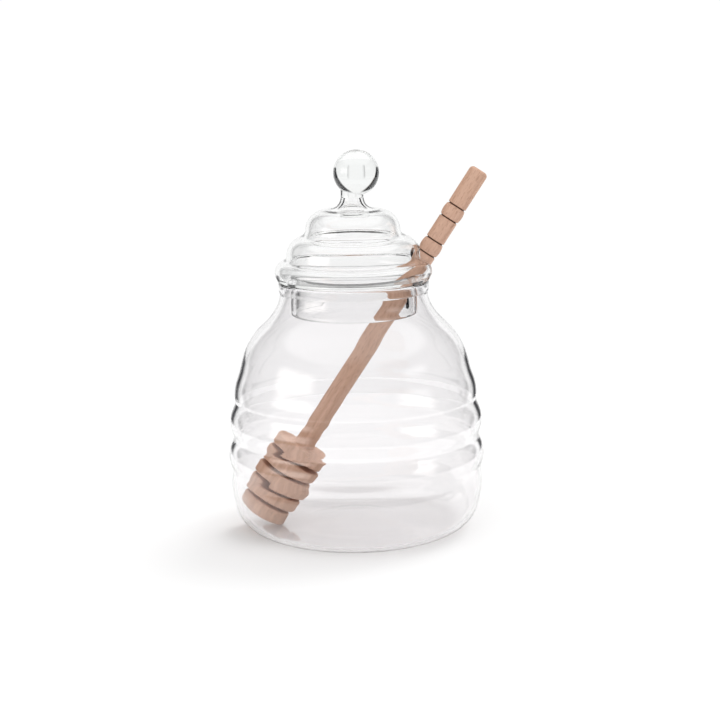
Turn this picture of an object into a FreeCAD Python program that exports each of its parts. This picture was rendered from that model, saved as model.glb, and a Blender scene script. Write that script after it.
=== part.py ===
import FreeCAD, Part

import os
from math import atan, cos, degrees, sin, sqrt, tan

from FreeCAD import Vector

# A beehive honey jar in clear blown glass, its glass lid with a ball knob, and a turned wooden
# dipper that leans in the jar and comes out through a notch in the lid's side.
# Millimetres, +Z up. The jar's axis is Z and its foot stands on z = 0.

# Jar. Radii of the body are steps in from the widest rib. Each rib swells from one valley, over
# its peak, to the next valley (step in, height).
jar_r = 50.0
jar_h = 97.8
jar_wall = 1.6
foot_corner_r = 12.5
side_foot = (1.8, 12.5)
ribs = [
    ((0.9, 17.5), (1.8, 24.8)),
    ((0.0, 30.8), (3.0, 37.2)),
    ((0.8, 43.5), (3.3, 50.0)),
    ((2.95, 55.7), (5.4, 62.8)),
]
shoulder = ((7.9, 72.4), (13.2, 79.9))
neck_r = 28.3
neck_l = 6.8
neck_bend = (0.27, 0.577)
punt_r = 23.0
punt_rise = 1.0
lip_bead = 0.6
lip_h = 4.0
lip_round = 0.7

# Lid. Each tier runs from the crease inside it, over its shoulder, to the crease outside it
# (share of the rim's radius, height above the flange's underside).
lid_wall = 1.6
seat_gap = 0.25
rim_overhang = 0.6
rim_round = 0.8
tiers = [
    ((0.281, 27.1), (0.536, 25.3), (0.610, 17.1)),
    ((0.610, 17.1), (0.790, 15.4), (0.858, 7.8)),
    ((0.858, 7.8), (1.027, 4.6), (1.0, rim_round)),
]
skirt_clearance = 2.5
skirt_drop = 12.5
flange_t = 1.6
knob_neck_r = 4.3
knob_neck_l = 4.7
knob_neck_sweep = 0.3
knob_r = 8.75
knob_lift = 0.45
knob_sunk = 0.6
knob_offset = 1.7

# Notch in the lid for the dipper.
notch_side_clearance = 2.45
notch_head_clearance = 1.2
notch_root_step = 1.0
notch_past_rim = 10.0

# Dipper, measured from the bottom of its head along its own axis. The discs' radii are steps in
# from the widest, from the bottom one up.
dipper_l = 158.2
shaft_r = 3.8
shaft_end_round = 1.6
head_r = 11.3
disc_steps = [1.5, 0.4, 0.0, 0.0, 0.3]
disc_t = 5.1
disc_round = 0.9
groove_w = 1.4
groove_core_r = 4.8
head_neck_r = 4.9
head_neck_l = 5.0
head_neck_bend = (0.25, 0.4)
handle_groove_steps = [16.5, 22.1, 32.0, 37.7]
handle_groove_w = 0.8
handle_groove_depth = 0.6
handle_bead_rise = 0.4

# How the dipper rests in the jar.
rest_gap = 0.3
head_wall_gap = 0.4
lean_yaw = 5.0
lean_rounds = 30

# Sizes that follow from those above.
mouth_r = neck_r - jar_wall
neck_z = jar_h - neck_l
lip_r = neck_r + lip_bead
side_r = jar_r - side_foot[0]
rim_r = lip_r + rim_overhang
skirt_r = mouth_r - skirt_clearance
seat_z = jar_h + seat_gap
knob_neck_z = tiers[0][0][1] + knob_neck_l
knob_centre_z = knob_neck_z + knob_lift + knob_r
notch_w = 2 * (shaft_r + notch_side_clearance)


def at(r, z):
    return Vector(r, 0, z)


def line(a, b):
    return Part.LineSegment(at(*a), at(*b)).toShape()


def arc(a, b, c):
    return Part.Arc(at(*a), at(*b), at(*c)).toShape()


def round_corner(a, corner, b):
    """The quarter arc from a to b that rounds a square corner."""
    s = 1 - sqrt(0.5)
    far = (a[0] + b[0] - corner[0], a[1] + b[1] - corner[1])
    return arc(a, (corner[0] + (far[0] - corner[0]) * s, corner[1] + (far[1] - corner[1]) * s), b)


def turned(edges):
    """The solid of a closed outline in the XZ plane turned about Z."""
    outline = Part.Wire(Part.__sortEdges__(edges))
    solid = Part.Face(outline).revolve(Vector(0, 0, 0), Vector(0, 0, 1), 360)
    return solid if solid.Volume > 0 else solid.reversed()


def ends(wire):
    """The first and last points of an open wire, lowest radius and height first."""
    points = [v.Point for v in wire.OrderedVertexes]
    return (points[0].x, points[0].z), (points[-1].x, points[-1].z)


def punt(z):
    """The shallow rise in the middle of the foot, seen as an arc that starts z above the foot."""
    return arc((0, z + punt_rise), (punt_r / 2, z + punt_rise * 0.75), (punt_r, z))


def on_body(point):
    """A named point of the jar's body, from its step in from the widest rib."""
    return jar_r - point[0], point[1]


def jar_outer_edges():
    """The jar's outline from the edge of the punt to the underside of the lip."""
    foot_r = side_r - foot_corner_r
    start = on_body(side_foot)
    edges = [
        line((punt_r, 0), (foot_r, 0)),
        round_corner((foot_r, 0), (side_r, 0), start),
    ]
    for peak, valley in ribs:
        edges.append(arc(start, on_body(peak), on_body(valley)))
        start = on_body(valley)
    over, shoulder_end = (on_body(point) for point in shoulder)
    edges.append(arc(start, over, shoulder_end))
    bend_r = neck_r + (shoulder_end[0] - neck_r) * neck_bend[0]
    bend_z = shoulder_end[1] + (neck_z - shoulder_end[1]) * neck_bend[1]
    edges.append(arc(shoulder_end, (bend_r, bend_z), (neck_r, neck_z)))
    edges.append(line((neck_r, neck_z), (neck_r, jar_h - lip_h)))
    return edges


def lip_edges():
    """The thick rounded bead round the mouth, from the outside of the neck to the inside."""
    low = jar_h - lip_h
    return [
        round_corner((neck_r, low), (lip_r, low), (lip_r, low + lip_bead)),
        line((lip_r, low + lip_bead), (lip_r, jar_h - lip_round)),
        round_corner((lip_r, jar_h - lip_round), (lip_r, jar_h), (lip_r - lip_round, jar_h)),
        line((lip_r - lip_round, jar_h), (mouth_r + lip_round, jar_h)),
        round_corner((mouth_r + lip_round, jar_h), (mouth_r, jar_h), (mouth_r, jar_h - lip_round)),
        line((mouth_r, jar_h - lip_round), (mouth_r, low)),
    ]


def make_jar():
    outer = jar_outer_edges()
    inner = Part.Wire(outer).makeOffset2D(jar_wall, 0, False, True)
    middle = [punt(0), punt(jar_wall), line((0, punt_rise), (0, punt_rise + jar_wall))]
    return turned(middle + outer + lip_edges() + inner.Edges)


def on_lid(point):
    """A named point of the lid, lifted from the flange's underside to its height over the foot."""
    return point[0], point[1] + seat_z


def on_tier(point):
    """A named point of a tier, from its share of the rim's radius."""
    return on_lid((point[0] * rim_r, point[1]))


def lid_outer_edges():
    """The lid's outline from inside the knob, down over the three tiers, to its rim."""
    top = on_lid((knob_neck_r, knob_centre_z - knob_r * knob_sunk))
    neck = on_lid((knob_neck_r, knob_neck_z))
    crown = on_tier(tiers[0][0])
    bend_r = neck[0] + (crown[0] - neck[0]) * knob_neck_sweep
    bend_z = crown[1] + (neck[1] - crown[1]) * knob_neck_sweep
    edges = [line(top, neck), arc(neck, (bend_r, bend_z), crown)]
    for crease_in, over, crease_out in tiers:
        edges.append(arc(on_tier(crease_in), on_tier(over), on_tier(crease_out)))
    return edges


def skirt_edges(rim_inside):
    """From the rim round its edge, along the flange, round the skirt's foot and back inside."""
    bottom = seat_z - skirt_drop
    inside_r = skirt_r - lid_wall
    return [
        round_corner((rim_r, seat_z + rim_round), (rim_r, seat_z), (rim_r - rim_round, seat_z)),
        line((rim_r - rim_round, seat_z), (skirt_r, seat_z)),
        line((skirt_r, seat_z), (skirt_r, bottom)),
        arc((skirt_r, bottom), (skirt_r - lid_wall / 2, bottom - lid_wall / 2), (inside_r, bottom)),
        line((inside_r, bottom), (inside_r, seat_z + flange_t)),
        line((inside_r, seat_z + flange_t), rim_inside),
    ]


def lean():
    """The dipper's angle from upright and the place of its foot's centre, in its own upright plane.

    Its lowest disc's rounded edge stands rest_gap above the jar's floor, with the head clear of
    the wall, and its shaft leans on the rounded inner edge of the lip with the same gap.
    """
    foot_r = head_r - disc_steps[0]
    lip_z = jar_h - lip_round
    angle = atan(jar_r / jar_h)
    for _ in range(lean_rounds):
        foot_x = foot_r * cos(angle) + head_wall_gap - (side_r - jar_wall)
        edge_z = disc_round * cos(angle) - (foot_r - disc_round) * sin(angle)
        foot_z = jar_wall + rest_gap + disc_round - edge_z
        lip_x = mouth_r + lip_round - (lip_round + rest_gap + shaft_r) / cos(angle)
        angle = atan((lip_x - foot_x) / (lip_z - foot_z))
    return angle, foot_x, foot_z


def notch_top():
    """The height that clears the shaft where it comes out through the middle tier."""
    angle, foot_x, foot_z = lean()
    wall_r = on_tier(tiers[1][2])[0]
    return foot_z + (wall_r + shaft_r / cos(angle) - foot_x) / tan(angle) + notch_head_clearance


def notch():
    """The arched space cut through skirt, flange and tiers on the side where the dipper leans."""
    root_r = on_tier(tiers[1][0])[0] + notch_root_step
    length = rim_r + notch_past_rim - root_r
    arch_z = notch_top() - notch_w / 2
    bottom = seat_z - skirt_drop - lid_wall
    slot = Part.makeBox(length, notch_w, arch_z - bottom, Vector(root_r, -notch_w / 2, bottom))
    arch = Part.makeCylinder(notch_w / 2, length, Vector(root_r, 0, arch_z), Vector(1, 0, 0))
    return leaned_round(slot.fuse(arch))


def leaned_round(shape):
    """The shape turned about Z from the XZ plane to the side where the dipper leans."""
    turned_shape = shape.copy()
    turned_shape.rotate(Vector(0, 0, 0), Vector(0, 0, 1), lean_yaw)
    return turned_shape


def make_lid():
    outer = lid_outer_edges()
    inner = Part.Wire(outer).makeOffset2D(-lid_wall, 0, False, True)
    (top_r, top_z), rim_inside = ends(inner)
    top = line((top_r, top_z), (knob_neck_r, top_z))
    shell = turned(outer + inner.Edges + skirt_edges(rim_inside) + [top])
    knob = Part.makeSphere(knob_r, Vector(knob_offset, 0, seat_z + knob_centre_z))
    return shell.fuse(knob).cut(notch()).removeSplitter()


def disc_edges(r, z, inner_below, inner_above):
    """One rounded disc of the head, from the groove below it to what stands above it."""
    top = z + disc_t
    return [
        line((inner_below, z), (r - disc_round, z)),
        round_corner((r - disc_round, z), (r, z), (r, z + disc_round)),
        line((r, z + disc_round), (r, top - disc_round)),
        round_corner((r, top - disc_round), (r, top), (r - disc_round, top)),
        line((r - disc_round, top), (inner_above, top)),
    ]


def head_edges():
    """The five discs with narrow grooves between them, and the swelling where the shaft starts."""
    edges = []
    last = len(disc_steps) - 1
    for i, step in enumerate(disc_steps):
        z = i * (disc_t + groove_w)
        below = 0 if i == 0 else groove_core_r
        above = head_neck_r if i == last else groove_core_r
        edges += disc_edges(head_r - step, z, below, above)
        if i < last:
            edges.append(line((above, z + disc_t), (above, z + disc_t + groove_w)))
    top = last * (disc_t + groove_w) + disc_t
    bend_r = shaft_r + (head_neck_r - shaft_r) * head_neck_bend[0]
    bend_z = top + head_neck_l * head_neck_bend[1]
    edges.append(arc((head_neck_r, top), (bend_r, bend_z), (shaft_r, top + head_neck_l)))
    return edges, top + head_neck_l


def handle_edges(start):
    """The shaft up to its rounded end, with four fine grooves that set off two raised beads."""
    edges = []
    z = start
    half = handle_groove_w / 2
    for i, step in enumerate(reversed(handle_groove_steps)):
        middle = dipper_l - step
        is_bead = i % 2 == 1
        if is_bead:
            over = (shaft_r + handle_bead_rise, (z + middle - half) / 2)
            edges.append(arc((shaft_r, z), over, (shaft_r, middle - half)))
        else:
            edges.append(line((shaft_r, z), (shaft_r, middle - half)))
        edges.append(line((shaft_r, middle - half), (shaft_r - handle_groove_depth, middle)))
        edges.append(line((shaft_r - handle_groove_depth, middle), (shaft_r, middle + half)))
        z = middle + half
    edges.append(line((shaft_r, z), (shaft_r, dipper_l - shaft_end_round)))
    flat_r = shaft_r - shaft_end_round
    edges.append(round_corner((shaft_r, dipper_l - shaft_end_round), (shaft_r, dipper_l), (flat_r, dipper_l)))
    edges.append(line((flat_r, dipper_l), (0, dipper_l)))
    edges.append(line((0, dipper_l), (0, 0)))
    return edges


def make_dipper():
    head, shaft_start = head_edges()
    dipper = turned(head + handle_edges(shaft_start))
    angle, foot_x, foot_z = lean()
    dipper.rotate(Vector(0, 0, 0), Vector(0, 1, 0), degrees(angle))
    dipper.translate(Vector(foot_x, 0, foot_z))
    return leaned_round(dipper)


os.makedirs("parts", exist_ok=True)
for name, shape in (("jar", make_jar()), ("lid", make_lid()), ("dipper", make_dipper())):
    shape.exportStep(f"parts/{name}.step")
    print(name, shape.isValid(), len(shape.Solids), round(shape.Volume / 1000, 2), "cm3")
print("lean", round(degrees(lean()[0]), 2), "notch top", round(notch_top(), 2))
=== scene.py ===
from math import atan2, cos, hypot, pi, radians, sin, sqrt

import bpy
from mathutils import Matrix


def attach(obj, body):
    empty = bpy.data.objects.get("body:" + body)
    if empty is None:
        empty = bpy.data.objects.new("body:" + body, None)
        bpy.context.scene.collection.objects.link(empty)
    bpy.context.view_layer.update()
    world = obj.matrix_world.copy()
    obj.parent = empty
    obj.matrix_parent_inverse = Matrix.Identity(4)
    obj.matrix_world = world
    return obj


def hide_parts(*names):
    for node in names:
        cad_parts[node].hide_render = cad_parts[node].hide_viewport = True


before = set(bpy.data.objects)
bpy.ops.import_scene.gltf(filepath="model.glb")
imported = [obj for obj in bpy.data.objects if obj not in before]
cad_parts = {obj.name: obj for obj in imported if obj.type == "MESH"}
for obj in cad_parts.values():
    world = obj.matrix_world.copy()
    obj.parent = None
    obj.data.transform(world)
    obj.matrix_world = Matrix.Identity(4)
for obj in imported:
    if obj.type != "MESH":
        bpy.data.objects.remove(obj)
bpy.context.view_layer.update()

# ---------------------------------------------------------------------------------------------
# Camera. It stands in front of the jar at arm's length, a little above the lid, and looks
# slightly down on it. A long lens keeps the jar's upright lines straight.
# ---------------------------------------------------------------------------------------------
camera_place = (0.00195, -0.650, 0.200)
camera_lens = 85.4
camera_sensor = 36.0
camera_tilt = 78.38
camera_roll = -1.0

camera_data = bpy.data.cameras.new("camera")
camera_data.lens = camera_lens
camera_data.sensor_width = camera_sensor
camera = bpy.data.objects.new("camera", camera_data)
bpy.context.scene.collection.objects.link(camera)
camera.location = camera_place
camera.rotation_euler = (radians(camera_tilt), 0.0, 0.0)
camera.rotation_euler.rotate_axis("Z", radians(camera_roll))
bpy.context.scene.camera = camera

# ---------------------------------------------------------------------------------------------
# Studio. The jar stands on a round white table in a soft white tent, lit by two broad lamps. The
# tent is white behind the jar, grey further out and black at the sides, so that clear glass shows
# its edges, and a softbox stands to each side of the camera.
# ---------------------------------------------------------------------------------------------
table_r = 0.24
table_colour = (0.93, 0.93, 0.93, 1.0)
table_roughness = 0.6
table_gloss = 0.15
grit_scale = 400.0
grit_share = 0.1
round_sides = 128


def deselect_all():
    if bpy.context.object and bpy.context.object.mode != "OBJECT":
        bpy.ops.object.mode_set(mode="OBJECT")
    bpy.ops.object.select_all(action="DESELECT")


class Out:
    """A node's output that can be used in sums, which add Math nodes to its finish."""

    def __init__(self, finish, socket):
        self.finish = finish
        self.socket = socket

    def worked(self, operation, first, second=0.0):
        inputs = {"Value": first, "Value_001": second}
        return self.finish.node("ShaderNodeMath", {"operation": operation}, inputs)["Value"]

    def __add__(self, other):
        return self.worked("ADD", self, other)

    def __radd__(self, other):
        return self.worked("ADD", other, self)

    def __sub__(self, other):
        return self.worked("SUBTRACT", self, other)

    def __rsub__(self, other):
        return self.worked("SUBTRACT", other, self)

    def __mul__(self, other):
        return self.worked("MULTIPLY", self, other)

    def __rmul__(self, other):
        return self.worked("MULTIPLY", other, self)

    def __abs__(self):
        return self.worked("ABSOLUTE", self)

    def either(self, other):
        """The larger of two shares."""
        return self.worked("MAXIMUM", self, other)


class Finish:
    """The nodes of a material or of the tent, added one at a time."""

    def __init__(self, owner):
        owner.use_nodes = True
        self.owner = owner
        self.tree = owner.node_tree
        self.tree.nodes.clear()

    def node(self, kind, settings=None, inputs=None):
        """Adds a node, gives it its settings, then the values or links of its sockets."""
        made = self.tree.nodes.new(kind)
        for name, value in (settings or {}).items():
            setattr(made, name, value)
        sockets = {socket.identifier: socket for socket in made.inputs}
        for name, value in (inputs or {}).items():
            if isinstance(value, Out):
                self.tree.links.new(value.socket, sockets[name])
            else:
                sockets[name].default_value = value
        return {out.identifier: Out(self, out) for out in made.outputs}

    def rise(self, value, low, high):
        """0 below low, 1 above high and a smooth rise between them."""
        inputs = {"Value": value, "From Min": low, "From Max": high}
        return self.node("ShaderNodeMapRange", {"interpolation_type": "SMOOTHSTEP"}, inputs)["Result"]

    def blend(self, share, first, second):
        """The first colour where share is 0 and the second where it is 1."""
        inputs = {"Factor_Float": share, "A_Color": first, "B_Color": second}
        return self.node("ShaderNodeMix", {"data_type": "RGBA"}, inputs)["Result_Color"]

    def vector(self, operation, first, second=(0.0, 0.0, 0.0)):
        inputs = {"Vector": first, "Vector_001": second}
        return self.node("ShaderNodeVectorMath", {"operation": operation}, inputs)

    def noise(self, where, scale, detail=2.0):
        inputs = {"Vector": where, "Scale": scale, "Detail": detail}
        return self.node("ShaderNodeTexNoise", {}, inputs)["Fac"]


def select_where(piece, test):
    """Selects the points of a piece whose place passes a test, for the next edit."""
    bpy.ops.object.mode_set(mode="EDIT")
    bpy.ops.mesh.select_mode(type="VERT")
    bpy.ops.mesh.select_all(action="DESELECT")
    bpy.ops.object.mode_set(mode="OBJECT")
    for point in piece.data.vertices:
        point.select = test(point.co)
    bpy.ops.object.mode_set(mode="EDIT")


def set_in_place():
    """Moves the place and turn of the chosen object into its mesh."""
    bpy.ops.object.mode_set(mode="OBJECT")
    bpy.ops.object.transform_apply(location=True, rotation=True, scale=True)


deselect_all()
bpy.ops.mesh.primitive_circle_add(vertices=round_sides, radius=table_r, fill_type="NGON")
table = bpy.context.object
table.name = "table"
bpy.ops.object.mode_set(mode="EDIT")
bpy.ops.mesh.select_all(action="SELECT")
bpy.ops.mesh.inset(thickness=table_r / 2)
bpy.ops.object.mode_set(mode="OBJECT")

table_finish = Finish(bpy.data.materials.new("white_table"))
table_where = table_finish.node("ShaderNodeTexCoord")["Object"]
table_grit = table_finish.noise(table_where, grit_scale)
table_inputs = {
    "Base Color": table_colour,
    "Roughness": table_grit * grit_share + table_roughness,
    "Specular IOR Level": table_gloss,
}
table_surface = table_finish.node("ShaderNodeBsdfPrincipled", {}, table_inputs)["BSDF"]
table_finish.node("ShaderNodeOutputMaterial", {}, {"Surface": table_surface})
table.data.materials.append(table_finish.owner)

# A curved card hangs behind each side of the knob and glows as white as the tent. Only reflections
# and what is seen through glass show it: it hides the tent's grey from the knob, and the jar looks
# under it. Its edges are given as the way aside over the way back.
tent_white = (1.0, 1.0, 1.0, 1.0)
card_r = 0.25
card_h = 0.11
card_z = 0.107
card_inner_edge = 0.2
card_outer_edge = 0.85

card_size = {"radius": card_r, "depth": card_h, "location": (0.0, 0.0, card_z)}
deselect_all()
bpy.ops.mesh.primitive_cylinder_add(vertices=round_sides, end_fill_type="NOTHING", **card_size)
card = bpy.context.object
card.name = "white_card"
set_in_place()
select_where(card, lambda co: not card_inner_edge * co.y < abs(co.x) < card_outer_edge * co.y)
bpy.ops.mesh.delete(type="VERT")
bpy.ops.object.mode_set(mode="OBJECT")
card.visible_camera = False
card.visible_diffuse = False
card.visible_shadow = False
card_finish = Finish(bpy.data.materials.new("card_white"))
card_inputs = {
    "Base Color": (0.0, 0.0, 0.0, 1.0),
    "Specular IOR Level": 0.0,
    "Emission Color": tent_white,
    "Emission Strength": 1.0,
}
card_surface = card_finish.node("ShaderNodeBsdfPrincipled", {}, card_inputs)["BSDF"]
card_finish.node("ShaderNodeOutputMaterial", {}, {"Surface": card_surface})
card.data.materials.append(card_finish.owner)

# The bands of the tent. A side edge is the way aside over the way ahead; a height is the upward
# part of a way of length 1. Each pair is where a fade begins and ends.
tent_grey = (0.04, 0.04, 0.045, 1.0)
tent_black = (0.008, 0.008, 0.010, 1.0)
tent_front = (0.30, 0.30, 0.31, 1.0)
grey_inner_edge = 0.16
grey_outer_edge = 0.46
grey_fade = (0.0, 0.22)
grey_foot = (-0.34, -0.26)
grey_top = (-0.02, 0.14)
black_edge = 0.9
black_widening = 1.1
black_fade = (-0.05, 0.10)
black_foot = (-0.30, -0.22)
black_top = (0.58, 0.72)
front_fade = (0.50, 0.80)

tent = Finish(bpy.data.worlds.new("studio_tent"))
bpy.context.scene.world = tent.owner
tent_way = tent.node("ShaderNodeTexCoord")["Generated"]
tent_parts = tent.node("ShaderNodeSeparateXYZ", {}, {"Vector": tent_way})
aside, ahead, up = tent_parts["X"], tent_parts["Y"], tent_parts["Z"]
past_white = abs(aside) - ahead * grey_inner_edge
past_grey = abs(aside) - ahead * grey_outer_edge
past_side = abs(aside) - ahead * (black_edge - up * black_widening)
grey_share = tent.rise(past_white, *grey_fade) * (1.0 - tent.rise(past_grey, *grey_fade))
grey_share = grey_share * tent.rise(up, *grey_foot) * (1.0 - tent.rise(up, *grey_top))
black_share = tent.rise(past_side, *black_fade) * tent.rise(up, *black_foot)
black_share = black_share * (1.0 - tent.rise(up, *black_top))
tent_colour = tent.blend(grey_share, tent_white, tent_grey)
tent_colour = tent.blend(black_share, tent_colour, tent_black)
tent_colour = tent.blend(tent.rise(ahead * -1.0, *front_fade), tent_colour, tent_front)

softbox_outside = 9
softbox_within = 8
softbox_fade = 0.2
left_softbox_colour = (2.8, 2.7, 2.6, 1.0)
right_softbox_colour = (1.5, 1.5, 1.5, 1.0)


def softbox(around, half_angle, low, high):
    """The share of the tent that a softbox fills, with its middle around from the front."""
    flat = tent.vector("MULTIPLY", tent_way, (1.0, 1.0, 0.0))["Vector"]
    level = tent.vector("NORMALIZE", flat)["Vector"]
    towards = (sin(radians(around)), -cos(radians(around)), 0.0)
    facing = tent.vector("DOT_PRODUCT", level, towards)["Value"]
    dark_from = cos(radians(half_angle + softbox_outside))
    full_from = cos(radians(half_angle - softbox_within))
    width = tent.rise(facing, dark_from, full_from)
    foot_share = tent.rise(up, low, low + softbox_fade)
    return width * foot_share * (1.0 - tent.rise(up, high - softbox_fade, high))


left_softbox = softbox(around=-64, half_angle=18, low=-0.12, high=0.46)
right_softbox = softbox(around=66, half_angle=10, low=0.16, high=0.50)
tent_colour = tent.blend(left_softbox, tent_colour, left_softbox_colour)
tent_colour = tent.blend(right_softbox, tent_colour, right_softbox_colour)

# The bands show in reflections and through glass alone. Behind all else the camera sees plain white,
# and matt surfaces are lit by an even light.
room_white = (1.02, 1.02, 1.02, 1.0)
even_light = (0.76, 0.76, 0.76, 1.0)
rays = tent.node("ShaderNodeLightPath")
by_glass = rays["Is Glossy Ray"].either(rays["Is Transmission Ray"])
tent_even = tent.blend(rays["Is Camera Ray"], even_light, room_white)
tent_seen = tent.blend(by_glass, tent_even, tent_colour)
tent_glow = tent.node("ShaderNodeBackground", {}, {"Color": tent_seen})["Background"]
tent.node("ShaderNodeOutputWorld", {}, {"Surface": tent_glow})
bpy.context.scene.view_settings.view_transform = "Standard"


def lamp(name, tilt, around, spread, strength):
    """A broad lamp, tilted from straight above and turned around the jar, that leaves no glint."""
    data = bpy.data.lights.new(name, "SUN")
    data.angle = radians(spread)
    data.energy = strength
    made = bpy.data.objects.new(name, data)
    made.rotation_euler = (radians(tilt), 0.0, radians(around))
    made.visible_glossy = False
    made.visible_transmission = False
    bpy.context.scene.collection.objects.link(made)


lamp("lamp_above_right", tilt=36, around=130, spread=28, strength=1.32)
lamp("lamp_front_left", tilt=48, around=-40, spread=40, strength=0.50)

# ---------------------------------------------------------------------------------------------
# Jar. It is blown into a ribbed mould, so wall and ribs are one thickness of clear glass, with a
# shallow rise under the foot and a thick rounded bead at the mouth.
# ---------------------------------------------------------------------------------------------
MM = 0.001
same_place = 0.002


def arc_points(first, over, last, count):
    """Points along the circle through three (radius, height) points, without the first one."""
    (ax, ay), (bx, by), (cx, cy) = first, over, last
    d = 2 * (ax * (by - cy) + bx * (cy - ay) + cx * (ay - by))
    a2, b2, c2 = ax * ax + ay * ay, bx * bx + by * by, cx * cx + cy * cy
    ux = (a2 * (by - cy) + b2 * (cy - ay) + c2 * (ay - by)) / d
    uy = (a2 * (cx - bx) + b2 * (ax - cx) + c2 * (bx - ax)) / d
    radius = hypot(ax - ux, ay - uy)
    begin, middle, end = (atan2(y - uy, x - ux) for x, y in (first, over, last))
    turn = (end - begin) % (2 * pi)
    if (middle - begin) % (2 * pi) > turn:
        turn -= 2 * pi
    steps = [begin + turn * (i + 1) / count for i in range(count)]
    return [(ux + radius * cos(s), uy + radius * sin(s)) for s in steps]


def quarter(first, corner, last, count):
    """Points along the quarter round from first to last that takes off a square corner."""
    cut = 1 - sqrt(0.5)
    far = (first[0] + last[0] - corner[0], first[1] + last[1] - corner[1])
    over = (corner[0] + (far[0] - corner[0]) * cut, corner[1] + (far[1] - corner[1]) * cut)
    return arc_points(first, over, last, count)


def straight(first, last, count):
    """Points along a straight stretch, without the first one."""
    steps = [(i + 1) / count for i in range(count)]
    return [(first[0] + (last[0] - first[0]) * s, first[1] + (last[1] - first[1]) * s) for s in steps]


def beside(points, distance):
    """The outline at a distance to the left of an outline's own direction."""
    moved = []
    for i, (r, z) in enumerate(points):
        before = points[max(i - 1, 0)]
        after = points[min(i + 1, len(points) - 1)]
        out, up_by = after[0] - before[0], after[1] - before[1]
        share = distance / hypot(out, up_by)
        moved.append((r - share * up_by, z + share * out))
    return moved


def softened(points, passes):
    """The outline with its creases eased, as a hot wall eases in its mould."""
    for _ in range(passes):
        eased = points[:1]
        for a, b, c in zip(points, points[1:], points[2:]):
            eased.append(((a[0] + 2 * b[0] + c[0]) / 4, (a[1] + 2 * b[1] + c[1]) / 4))
        points = eased + points[-1:]
    return points


def drawn_line(name, points):
    """A line through points in millimetres: one point is set down and drawn out along them."""
    deselect_all()
    bpy.ops.mesh.primitive_plane_add(size=MM)
    piece = bpy.context.object
    piece.name = name
    bpy.ops.object.mode_set(mode="EDIT")
    bpy.ops.mesh.select_all(action="SELECT")
    bpy.ops.mesh.merge(type="CENTER")
    bpy.ops.transform.translate(value=[c * MM for c in points[0]])
    for here, there in zip(points, points[1:]):
        move = [(b - a) * MM for a, b in zip(here, there)]
        bpy.ops.mesh.extrude_region_move(TRANSFORM_OT_translate={"value": move})
    bpy.ops.object.mode_set(mode="OBJECT")
    return piece


def tidy_mesh(crease):
    """Merges points in one place, turns all faces outwards and smooths up to a crease angle."""
    bpy.ops.object.mode_set(mode="EDIT")
    bpy.ops.mesh.select_all(action="SELECT")
    bpy.ops.mesh.remove_doubles(threshold=same_place * MM)
    bpy.ops.mesh.normals_make_consistent(inside=False)
    bpy.ops.object.mode_set(mode="OBJECT")
    bpy.ops.object.shade_smooth_by_angle(angle=radians(crease))


def turned_piece(name, outline, steps, crease):
    """A solid of revolution from an outline of (radius, height) points that starts and ends on Z."""
    piece = drawn_line(name, [(r, 0.0, z) for r, z in outline])
    bpy.ops.object.mode_set(mode="EDIT")
    bpy.ops.mesh.select_all(action="SELECT")
    bpy.ops.mesh.spin(steps=steps, angle=2 * pi, center=(0.0, 0.0, 0.0), axis=(0.0, 0.0, 1.0))
    bpy.ops.object.mode_set(mode="OBJECT")
    tidy_mesh(crease)
    return piece


jar_wall = 1.6
jar_side = (48.2, 12.5)
jar_ribs = [
    ((49.1, 17.5), (48.2, 24.8)),
    ((50.0, 30.8), (47.0, 37.2)),
    ((49.2, 43.5), (46.7, 50.0)),
    ((47.05, 55.7), (44.6, 62.8)),
]
jar_shoulder = ((42.1, 72.4), (36.8, 79.9))
jar_neck = ((30.6, 86.3), (28.3, 91.0))
jar_h = 97.8
lip_r = 28.9
lip_low = 93.8
lip_round = 0.7
lip_under = 0.6
punt_r = 23.0
punt_h = 1.0
punt_half_way_h = 0.75
foot_r = 35.7
glass_turn_steps = 192
glass_crease = 60
neck_r = jar_neck[1][0]
mouth_r = neck_r - jar_wall

jar_body = [(punt_r, 0.0)] + straight((punt_r, 0.0), (foot_r, 0.0), 6)
jar_body += quarter((foot_r, 0.0), (jar_side[0], 0.0), jar_side, 14)
start = jar_side
for peak, valley in jar_ribs:
    jar_body += arc_points(start, peak, valley, 14)
    start = valley
jar_body += arc_points(start, *jar_shoulder, 12)
jar_body += arc_points(jar_shoulder[1], *jar_neck, 8)
jar_body += straight(jar_neck[1], (neck_r, lip_low), 2)
jar_body = softened(jar_body, 6)
jar_inside = beside(jar_body, jar_wall)
punt = arc_points((0.0, punt_h), (punt_r / 2, punt_half_way_h), (punt_r, 0.0), 12)
punt_inside = [(r, z + jar_wall) for r, z in punt[:-1]]
jar_lip = quarter((neck_r, lip_low), (lip_r, lip_low), (lip_r, lip_low + lip_under), 4)
jar_lip += straight(jar_lip[-1], (lip_r, jar_h - lip_round), 3)
jar_lip += quarter(jar_lip[-1], (lip_r, jar_h), (lip_r - lip_round, jar_h), 5)
jar_lip += straight(jar_lip[-1], (mouth_r + lip_round, jar_h), 2)
jar_lip += quarter(jar_lip[-1], (mouth_r, jar_h), (mouth_r, jar_h - lip_round), 5)
jar_outline = [(0.0, punt_h)] + punt[:-1] + jar_body + jar_lip
jar_outline += jar_inside[::-1] + punt_inside[::-1] + [(0.0, punt_h + jar_wall)]
jar = turned_piece("jar_glass", jar_outline, glass_turn_steps, glass_crease)

jar_clearness = (0.975, 0.967, 0.971)
jar_tint = (0.80, 0.83, 0.85)
tint_strength = 12.0
glass_bend = 1.47
glass_shadow = (0.905, 0.90, 0.90, 1.0)
blown_waves = 45.0
blown_relief = 0.00005


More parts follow.
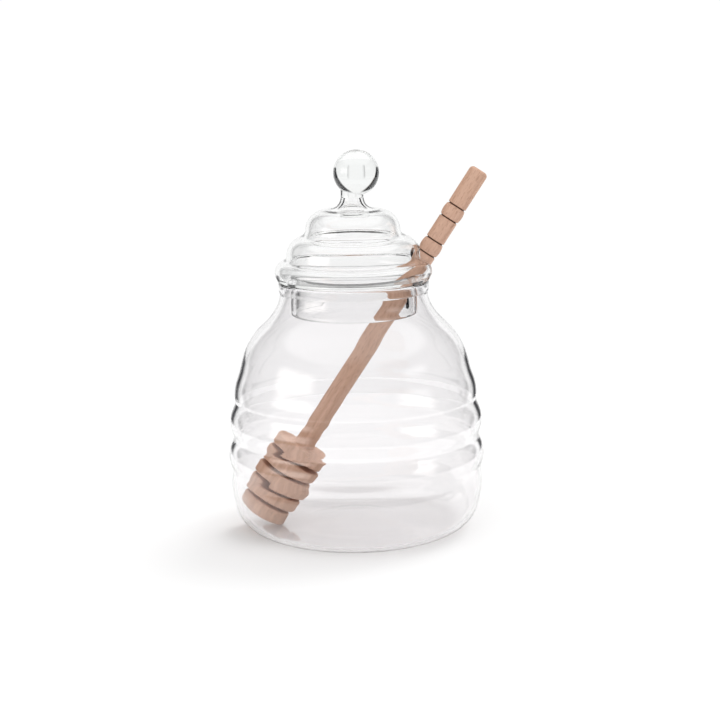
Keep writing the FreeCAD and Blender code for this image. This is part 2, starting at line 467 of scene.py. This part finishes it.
def glass_finish(name, clearness, tint):
    """Clear glass with a faint tint in its depth and a slightly uneven blown surface.

    It takes a little from the light that falls through it, so it casts a pale shadow.
    """
    finish = Finish(bpy.data.materials.new(name))
    where = finish.node("ShaderNodeTexCoord")["Object"]
    waves = finish.noise(where, blown_waves)
    uneven = finish.node("ShaderNodeBump", {}, {"Distance": blown_relief, "Height": waves})["Normal"]
    clear_inputs = {
        "Base Color": (*clearness, 1.0),
        "Roughness": 0.0,
        "IOR": glass_bend,
        "Transmission Weight": 1.0,
        "Normal": uneven,
    }
    clear = finish.node("ShaderNodeBsdfPrincipled", {}, clear_inputs)["BSDF"]
    shade = finish.node("ShaderNodeBsdfTransparent", {}, {"Color": glass_shadow})["BSDF"]
    ways = finish.node("ShaderNodeLightPath")
    mix_inputs = {
        "Fac": ways["Is Shadow Ray"].either(ways["Is Diffuse Ray"]),
        "Shader": clear,
        "Shader_001": shade,
    }
    surface = finish.node("ShaderNodeMixShader", {}, mix_inputs)["Shader"]
    depth_inputs = {"Color": (*tint, 1.0), "Density": tint_strength}
    inside = finish.node("ShaderNodeVolumeAbsorption", {}, depth_inputs)["Volume"]
    finish.node("ShaderNodeOutputMaterial", {}, {"Surface": surface, "Volume": inside})
    return finish.owner


jar.data.materials.append(glass_finish("jar_clear_glass", jar_clearness, jar_tint))
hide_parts("jar")
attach(jar, "root")

# ---------------------------------------------------------------------------------------------
# Lid. It is blown in three rounded tiers over a flat rim and a skirt that drops into the jar's
# mouth, with a solid glass ball for a knob. A notch cut for the dipper has a melted, beaded edge.
# ---------------------------------------------------------------------------------------------
seat = 98.05
lid_wall = 1.6
rim_r = 29.5
rim_round = 0.8
tiers = [
    ((8.29, 27.1), (15.81, 25.3), (18.0, 17.1)),
    ((18.0, 17.1), (23.31, 15.4), (25.31, 7.8)),
    ((25.31, 7.8), (30.3, 4.6), (29.5, 0.8)),
]
skirt_r = 24.2
skirt_bottom = -12.5
flange_t = 1.6
knob_r = 8.75
knob_z = 41.0
knob_offset = 1.7
knob_neck = (4.3, 31.8)
neck_hollow = 0.3
neck_reach = 0.6

tier_r, tier_z = tiers[0][0]
neck_bend_r = knob_neck[0] + (tier_r - knob_neck[0]) * neck_hollow
neck_bend_z = tier_z + (knob_neck[1] - tier_z) * neck_hollow
lid_top = [knob_neck] + arc_points(knob_neck, (neck_bend_r, neck_bend_z), tiers[0][0], 8)
for crease_in, over, crease_out in tiers:
    lid_top += arc_points(crease_in, over, crease_out, 14)
lid_top = softened(lid_top, 5)
lid_inside = beside(lid_top, -lid_wall)
lid_rim = quarter((rim_r, rim_round), (rim_r, 0.0), (rim_r - rim_round, 0.0), 6)
lid_rim += straight(lid_rim[-1], (skirt_r, 0.0), 5)
lid_rim += straight(lid_rim[-1], (skirt_r, skirt_bottom), 10)
skirt_in = (skirt_r - lid_wall, skirt_bottom)
lid_rim += arc_points(lid_rim[-1], (skirt_r - lid_wall / 2, skirt_bottom - lid_wall / 2), skirt_in, 8)
lid_rim += straight(skirt_in, (skirt_in[0], flange_t), 10)
lid_rim += straight(lid_rim[-1], lid_inside[-1], 4)[:-1]
knob_foot = (knob_neck[0], knob_z - knob_r * neck_reach)
lid_outline = [(0.0, knob_foot[1]), knob_foot] + lid_top + lid_rim
lid_outline += lid_inside[::-1] + [(0.0, lid_inside[0][1])]
lid_outline = [(r, z + seat) for r, z in lid_outline]
lid = turned_piece("lid_glass", lid_outline, glass_turn_steps, glass_crease)


def turn_about_z(degrees_round):
    """Turns the chosen object's mesh about the jar's axis, counter-clockwise from above."""
    bpy.ops.object.mode_set(mode="EDIT")
    bpy.ops.mesh.select_all(action="SELECT")
    turn = -radians(degrees_round)
    bpy.ops.transform.rotate(value=turn, orient_axis="Z", center_override=(0.0, 0.0, 0.0))
    bpy.ops.object.mode_set(mode="OBJECT")


def joined_solid(piece, other, operation):
    """Cuts a solid from a piece or melts it on, and takes the other away."""
    deselect_all()
    piece.select_set(True)
    bpy.context.view_layer.objects.active = piece
    change = piece.modifiers.new(operation.lower(), "BOOLEAN")
    change.operation = operation
    change.object = other
    change.solver = "EXACT"
    change.use_self = operation == "UNION"
    bpy.ops.object.modifier_apply(modifier=change.name)
    bpy.data.objects.remove(other)


notch_half_width = 6.25
notch_arch_z = 104.47
notch_root = 18.995
notch_past_rim = 10.0
notch_end = rim_r + notch_past_rim
notch_depth = 22.0
notch_sides = 96
lean_round = 5.0
hair = 0.001

notch_size = {
    "vertices": notch_sides,
    "radius": notch_half_width * MM,
    "depth": (notch_end - notch_root) * MM,
    "location": ((notch_root + notch_end) / 2 * MM, 0.0, notch_arch_z * MM),
    "rotation": (0.0, pi / 2, 0.0),
}
deselect_all()
bpy.ops.mesh.primitive_cylinder_add(**notch_size)
notch = bpy.context.object
set_in_place()
select_where(notch, lambda co: co.z < (notch_arch_z - hair) * MM)
bpy.ops.transform.translate(value=(0.0, 0.0, -notch_depth * MM))
turn_about_z(lean_round)
joined_solid(lid, notch, "DIFFERENCE")

bead_r = 1.0
bead_over_flange = 0.3
arch_steps = 28

wall_middle = [(r, z + seat) for r, z in beside(lid_top, -lid_wall / 2)[::-1]]
flange_middle = seat + flange_t / 2
skirt_middle = skirt_r - lid_wall / 2
skirt_foot = (skirt_middle, seat + skirt_bottom)
side_line = [skirt_foot] + straight(skirt_foot, (skirt_middle, flange_middle), 24)
side_line += straight(side_line[-1], (rim_r - lid_wall / 2, flange_middle), 10)
wall_foot = flange_middle + bead_over_flange
side_line += [point for point in wall_middle if wall_foot < point[1] < notch_arch_z]
side_line = softened(side_line, 6)


def wall_r(height):
    """The radius of the middle of the lid's wall at a height above the table."""
    for (r0, z0), (r1, z1) in zip(wall_middle, wall_middle[1:]):
        if z0 <= height <= z1:
            return r0 + (r1 - r0) * (height - z0) / (z1 - z0)
    return wall_middle[-1][0]


bead_line = [(r, notch_half_width, z) for r, z in side_line]
for i in range(1, arch_steps):
    turn = pi * i / arch_steps
    height = notch_arch_z + notch_half_width * sin(turn)
    bead_line.append((wall_r(height), notch_half_width * cos(turn), height))
bead_line += [(r, -notch_half_width, z) for r, z in side_line[::-1]]
bead = drawn_line("bead", [(sqrt(r * r - y * y), y, z) for r, y, z in bead_line])
bpy.ops.object.convert(target="CURVE")
bead = bpy.context.object
bead.data.bevel_depth = bead_r * MM
bead.data.bevel_resolution = 4
bead.data.use_fill_caps = True
bpy.ops.object.convert(target="MESH")
tidy_mesh(glass_crease)
turn_about_z(lean_round)
joined_solid(lid, bead, "UNION")

knob_size = {
    "segments": 128,
    "ring_count": 64,
    "radius": knob_r * MM,
    "location": (knob_offset * MM, 0.0, (seat + knob_z) * MM),
}
deselect_all()
bpy.ops.mesh.primitive_uv_sphere_add(**knob_size)
knob = bpy.context.object
set_in_place()
joined_solid(lid, knob, "UNION")
joined_crease = 35
tidy_mesh(joined_crease)

lid_clearness = (1.0, 1.0, 1.0)
lid_tint = (0.78, 0.85, 0.80)
lid.data.materials.append(glass_finish("lid_clear_glass", lid_clearness, lid_tint))
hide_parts("lid")
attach(lid, "root")

# ---------------------------------------------------------------------------------------------
# Dipper. It is turned from one piece of pale beech: five discs with narrow grooves between them,
# a plain shaft, and a handle set off by fine grooves.
# ---------------------------------------------------------------------------------------------
shaft_r = 3.8
dipper_l = 158.2
disc_radii = [9.8, 10.9, 11.3, 11.3, 11.0]
disc_t = 5.1
disc_round = 0.9
disc_gap = 1.4
core_r = 4.8
neck_foot_r = 4.9
neck_h = 5.0
neck_waist_r = 0.275
neck_waist_h = 2.0
grooves_from_end = (37.7, 32.0, 22.1, 16.5)
groove_half_w = 0.4
groove_depth = 0.6
groove_floor_half_w = 0.15
groove_floor_depth = 0.45
handle_swell = 0.4
end_round = 1.6
end_flat_r = 1.2
dipper_turn_steps = 128
dipper_crease = 32
lean = 33.505
foot = (-38.028, 0.0, 6.962)

dipper_outline = [(0.0, 0.0)]
z = 0.0
for i, disc_r in enumerate(disc_radii):
    inner = core_r if i else 0.0
    dipper_outline += straight((inner, z), (disc_r - disc_round, z), 5)
    dipper_outline += quarter((disc_r - disc_round, z), (disc_r, z), (disc_r, z + disc_round), 5)
    top = z + disc_t
    dipper_outline += straight((disc_r, z + disc_round), (disc_r, top - disc_round), 3)
    dipper_outline += quarter((disc_r, top - disc_round), (disc_r, top), (disc_r - disc_round, top), 5)
    core = core_r if i < len(disc_radii) - 1 else neck_foot_r
    dipper_outline += straight((disc_r - disc_round, top), (core, top), 5)
    if i < len(disc_radii) - 1:
        dipper_outline += straight((core, top), (core, top + disc_gap), 2)
    z = top + disc_gap
neck_bottom = dipper_outline[-1]
neck_waist = (shaft_r + neck_waist_r, neck_bottom[1] + neck_waist_h)
neck_end = (shaft_r, neck_bottom[1] + neck_h)
dipper_outline += arc_points(neck_bottom, neck_waist, neck_end, 8)
last = neck_end
for i, step in enumerate(grooves_from_end):
    groove = dipper_l - step
    edge = (shaft_r, groove - groove_half_w)
    if i % 2:
        swell = (shaft_r + handle_swell, (last[1] + edge[1]) / 2)
        dipper_outline += arc_points(last, swell, edge, 8)
    else:
        dipper_outline += straight(last, edge, 30 if i == 0 else 6)
    floor_r = shaft_r - groove_floor_depth
    dipper_outline.append((floor_r, groove - groove_floor_half_w))
    dipper_outline.append((shaft_r - groove_depth, groove))
    dipper_outline.append((floor_r, groove + groove_floor_half_w))
    last = (shaft_r, groove + groove_half_w)
    dipper_outline.append(last)
end_foot = (shaft_r, dipper_l - end_round)
dipper_outline += straight(last, end_foot, 6)
dipper_outline += quarter(end_foot, (shaft_r, dipper_l), (shaft_r - end_round, dipper_l), 6)
dipper_outline += [(end_flat_r, dipper_l), (0.0, dipper_l)]
dipper = turned_piece("dipper_beech", dipper_outline, dipper_turn_steps, dipper_crease)
bpy.ops.object.mode_set(mode="EDIT")
bpy.ops.mesh.select_all(action="SELECT")
bpy.ops.transform.rotate(value=-radians(lean), orient_axis="Y", center_override=(0.0, 0.0, 0.0))
bpy.ops.transform.translate(value=[c * MM for c in foot])
turn_about_z(lean_round)

# The wood is pale with warmer streaks and fine brown flecks, all drawn out along the dipper's own
# axis. The floors of the handle's grooves are darkened to a deep brown: they are found by height from
# the dipper's foot and by distance from its axis, both in metres.
pale = (0.77, 0.50, 0.375, 1.0)
warm = (0.62, 0.375, 0.265, 1.0)
cloud_colour = (0.69, 0.43, 0.295, 1.0)
ring_colour = (0.46, 0.26, 0.18, 1.0)
fleck_colour = (0.40, 0.21, 0.14, 1.0)
# The deep brown that darkens the floors of the handle's grooves.
groove_dark_colour = (0.075, 0.035, 0.022, 1.0)
grooves_begin = (0.115, 0.116)
grooves_end = (0.150, 0.151)
groove_dark_floor = (0.0028, 0.0030)
groove_dark_rim = (0.00325, 0.00375)

wood = Finish(bpy.data.materials.new("pale_beech"))
foot_x = foot[0] * cos(radians(lean_round)) * MM
foot_y = foot[0] * sin(radians(lean_round)) * MM
own_place = {
    "Vector": wood.node("ShaderNodeTexCoord")["Object"],
    "Location": (foot_x, foot_y, foot[2] * MM),
    "Rotation": (0.0, radians(lean), radians(lean_round)),
}
along = wood.node("ShaderNodeMapping", {"vector_type": "TEXTURE"}, own_place)["Vector"]
own_parts = wood.node("ShaderNodeSeparateXYZ", {}, {"Vector": along})
from_axis = wood.vector("LENGTH", wood.vector("MULTIPLY", along, (1.0, 1.0, 0.0))["Vector"])["Value"]

fibre_way = wood.vector("MULTIPLY", along, (1.0, 1.0, 0.03))["Vector"]
fibres = wood.noise(fibre_way, scale=1500.0, detail=4.0)
streak_way = wood.vector("MULTIPLY", along, (1.0, 1.0, 0.06))["Vector"]
streaks = wood.noise(streak_way, scale=420.0, detail=2.0)
clouds = wood.noise(along, scale=55.0, detail=2.0)
fleck_way = wood.vector("MULTIPLY", along, (1.0, 0.45, 0.14))["Vector"]
flecks = wood.noise(fleck_way, scale=3200.0, detail=1.0)
fleck_share = wood.rise(flecks, 0.58, 0.68)
rings_inputs = {
    "Vector": along,
    "Scale": 90.0,
    "Distortion": 2.5,
    "Detail": 2.0,
    "Detail Scale": 0.6,
}
rings = wood.node("ShaderNodeTexWave", {"bands_direction": "X"}, rings_inputs)["Fac"]
own_height = own_parts["Z"]
by_grooves = wood.rise(own_height, *grooves_begin) * (1.0 - wood.rise(own_height, *grooves_end))
in_groove = wood.rise(from_axis, *groove_dark_floor) * (1.0 - wood.rise(from_axis, *groove_dark_rim))

warm_share = wood.rise(streaks * 0.6 + fibres * 0.4, 0.36, 0.64)
cloud_share = wood.rise(clouds, 0.35, 0.7) * 0.35
colour = wood.blend(warm_share, pale, warm)
colour = wood.blend(cloud_share, colour, cloud_colour)
colour = wood.blend(rings * 0.16, colour, ring_colour)
colour = wood.blend(fleck_share * 0.5, colour, fleck_colour)
# The floors of the handle's grooves are darkened to a deep brown.
colour = wood.blend(by_grooves * in_groove, colour, groove_dark_colour)
relief_inputs = {
    "Strength": 0.5,
    "Distance": 0.00012,
    "Height": fibres - fleck_share * 0.4,
}
relief = wood.node("ShaderNodeBump", {}, relief_inputs)
wood_inputs = {
    "Base Color": colour,
    "Roughness": fibres * 0.2 + 0.52,
    "Specular IOR Level": 0.35,
    "Normal": relief["Normal"],
}
wood_surface = wood.node("ShaderNodeBsdfPrincipled", {}, wood_inputs)["BSDF"]
wood.node("ShaderNodeOutputMaterial", {}, {"Surface": wood_surface})
dipper.data.materials.append(wood.owner)
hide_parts("dipper")
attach(dipper, "root")
